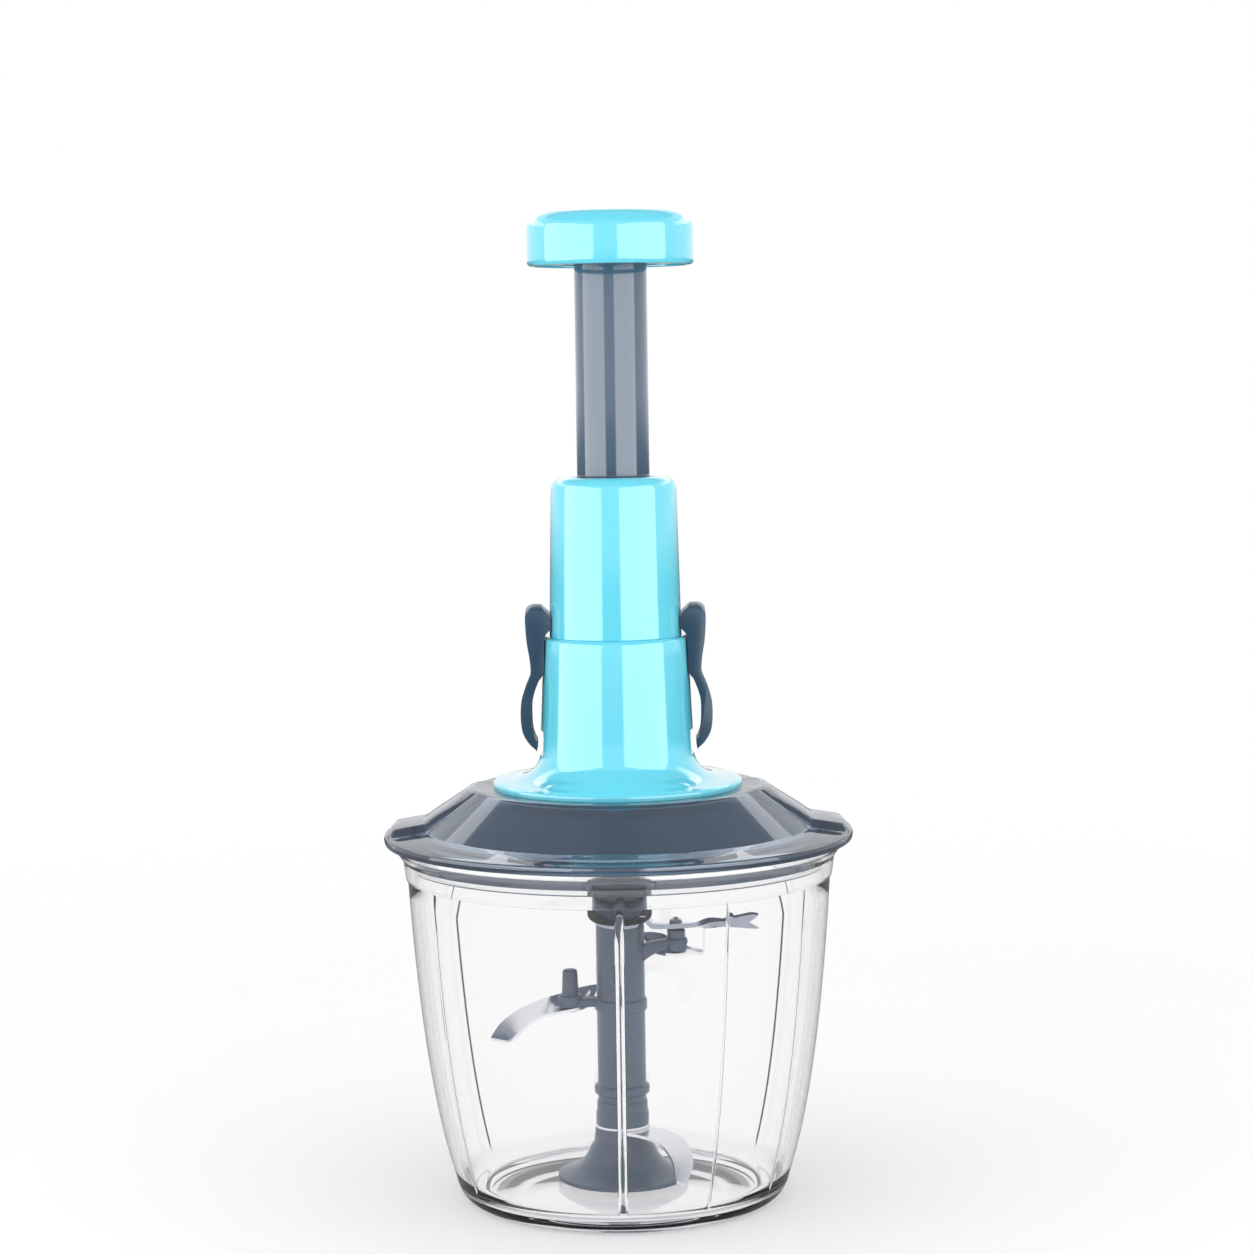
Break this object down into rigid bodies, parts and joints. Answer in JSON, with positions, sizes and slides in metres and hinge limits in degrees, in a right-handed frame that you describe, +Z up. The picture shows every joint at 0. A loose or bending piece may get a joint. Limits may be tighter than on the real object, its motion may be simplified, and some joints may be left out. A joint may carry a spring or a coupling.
{
  "type": "plunger food chopper",
  "caption": "Hand-press food chopper: a plunger drives a twisted bar that spins curved steel blades on a column inside a clear ribbed bowl under a clipped, finger-lugged lid.",
  "frame": {"origin": "middle of the bowl's foot, on the plane it stands on", "axes": "+Z up along the plunger, the finger lugs and clips lie along X, and -Y faces the viewer"},
  "size_m": [0.1388, 0.1388, 0.2915],
  "materials": {
    "clear_bowl": "clear moulded polycarbonate",
    "smoke_lid": "smoke grey translucent moulded plastic",
    "cyan_plastic": "glossy moulded ABS",
    "slate_plastic": "satin moulded ABS",
    "tube_plastic": "glossy moulded ABS",
    "grey_plastic": "satin moulded ABS",
    "bush_plastic": "plain acetal",
    "dark_plastic": "plain nylon",
    "coupling_plastic": "satin nylon",
    "blade_steel": "bright stainless steel",
    "bar_steel": "drawn stainless steel",
    "pin_steel": "ground stainless steel",
    "spring_steel": "drawn spring steel",
    "screw_steel": "zinc plated steel"
  },
  "bodies": {
    "bowl": {"bowl": "clear_bowl", "centre_pin": "pin_steel"},
    "lid": {"lid": "smoke_lid", "lid_inner_cover": "slate_plastic", "lower_housing": "cyan_plastic", "upper_housing": "cyan_plastic", "drive_base": "grey_plastic", "thrust_washer": "pin_steel", "guide_bush": "bush_plastic", "housing_screws": "screw_steel", "clip_pins": "pin_steel", "clip_springs": "spring_steel"},
    "plunger": {"press_knob": "cyan_plastic", "knob_base": "cyan_plastic", "knob_screw": "screw_steel", "plunger_tube": "tube_plastic", "drive_nut": "dark_plastic", "nut_screws": "screw_steel", "return_spring": "spring_steel"},
    "spindle": {"twisted_bar": "bar_steel", "spring_seat": "bush_plastic", "spindle_hub": "dark_plastic", "drive_coupling": "coupling_plastic", "coupling_screw": "screw_steel"},
    "rotor": {"lower_hub": "grey_plastic", "blade_column": "grey_plastic", "column_cap": "grey_plastic", "eye_washer": "dark_plastic", "blade_rivets": "blade_steel", "top_blade": "blade_steel", "right_blade": "blade_steel", "left_blade": "blade_steel", "bottom_blade": "blade_steel"},
    "left_clip": {"left_clip": "slate_plastic"},
    "right_clip": {"right_clip": "slate_plastic"}
  },
  "joints": [
    {"name": "lid_lift", "type": "slide", "parent": "bowl", "child": "lid", "axis": [0, 0, 1], "range_m": [0, 0.1]},
    {"name": "plunger_press", "type": "slide", "parent": "lid", "child": "plunger", "axis": [0, 0, -1], "range_m": [0, 0.06], "stiffness_N_per_m": 230, "springref_m": -0.02, "deforming": ["return_spring"]},
    {"name": "spindle_spin", "type": "hinge", "parent": "lid", "child": "spindle", "pos_m": [0, 0, 0.1225], "axis": [0, 0, 1], "range_deg": [0, 600]},
    {"name": "rotor_spin", "type": "hinge", "parent": "bowl", "child": "rotor", "pos_m": [0, 0, 0.062], "axis": [0, 0, 1], "range_deg": [0, 600]},
    {"name": "left_clip_hinge", "type": "hinge", "parent": "lid", "child": "left_clip", "pos_m": [-0.0173, 0, 0.1576], "axis": [0, -1, 0], "range_deg": [0, 6], "stiffness_Nm_per_rad": 0.06, "springref_deg": -8.59},
    {"name": "right_clip_hinge", "type": "hinge", "parent": "lid", "child": "right_clip", "pos_m": [0.0173, 0, 0.1576], "axis": [0, 1, 0], "range_deg": [0, 6], "stiffness_Nm_per_rad": 0.06, "springref_deg": -8.59}
  ],
  "couplings": [
    {"joint": "spindle_spin", "follows": "plunger_press", "rad_per_m": 174.53},
    {"joint": "rotor_spin", "follows": "plunger_press", "rad_per_m": 174.53}
  ]
}
